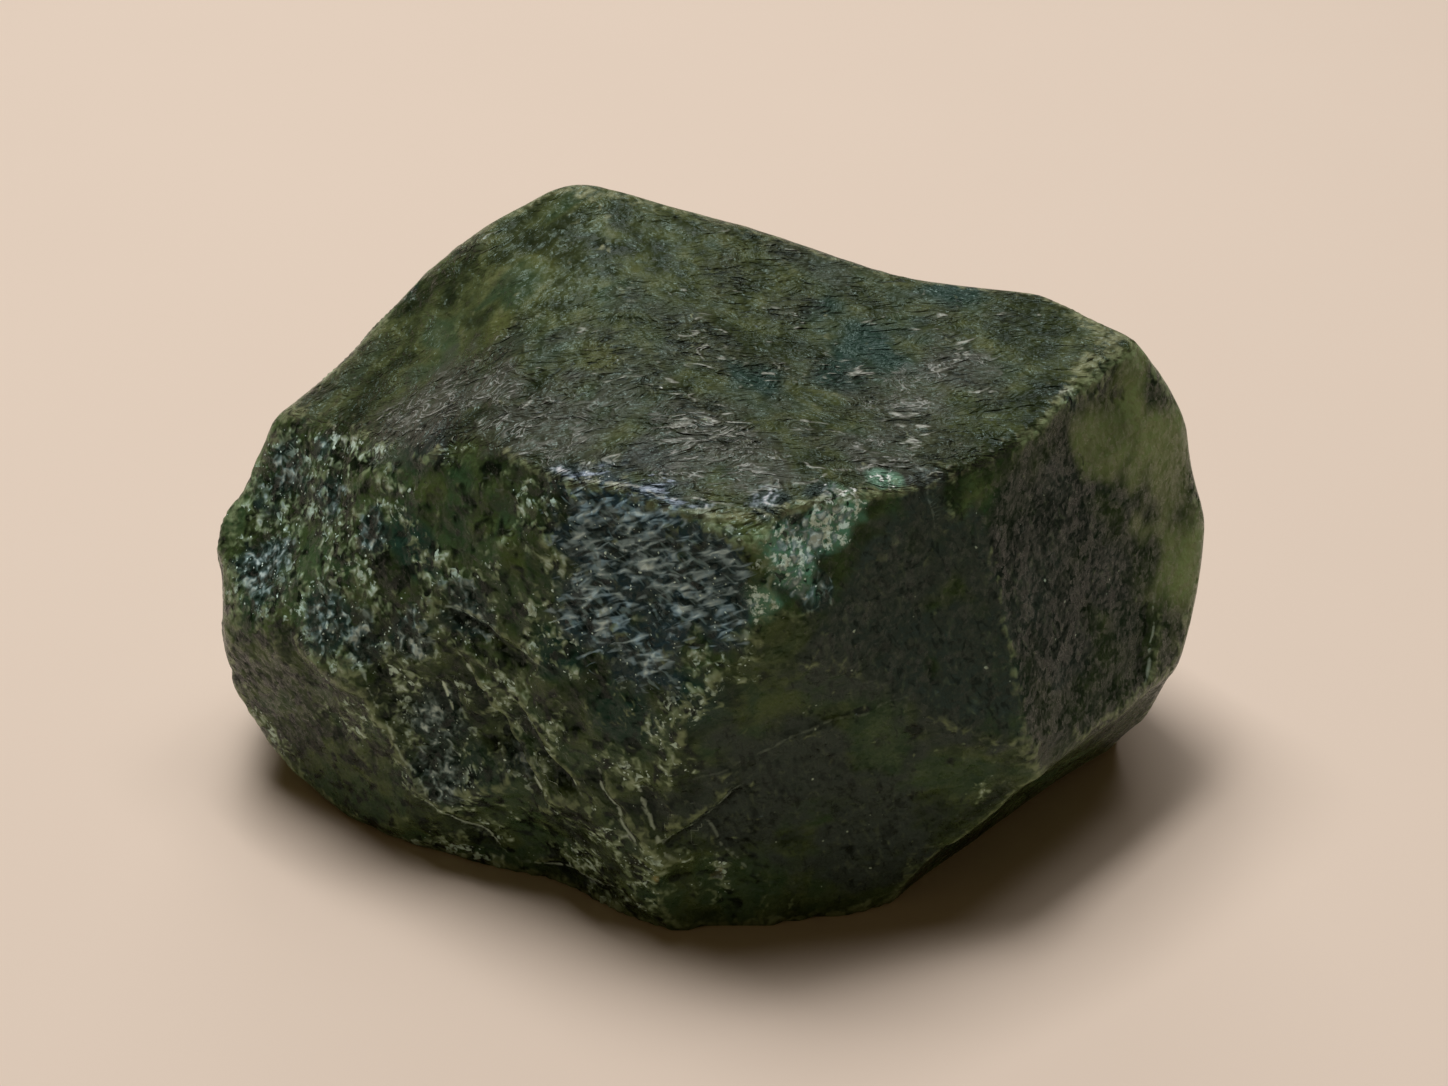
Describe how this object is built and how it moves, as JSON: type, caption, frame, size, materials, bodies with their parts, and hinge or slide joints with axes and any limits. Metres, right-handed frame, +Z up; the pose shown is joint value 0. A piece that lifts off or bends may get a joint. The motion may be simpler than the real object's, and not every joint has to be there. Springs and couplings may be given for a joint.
{
  "type": "raw jade boulder",
  "caption": "Solid raw jade boulder with broken flat faces, worn ridges, shallow flake scars and a dished top, resting on its flat underside.",
  "frame": {"origin": "middle of the footprint's bounding box, at the level of the flat face the stone rests on", "axes": "+X along the stone's length, towards its taller squared end; +Y towards the back, the side away from the two broad broken front faces; +Z up"},
  "size_m": [0.1206, 0.083, 0.0693],
  "materials": {
    "jade": "raw broken nephrite, dark olive to deep green, waxy and finely granular with paler frosted bruises"
  },
  "bodies": {
    "root": {"boulder": "jade"}
  },
  "joints": []
}
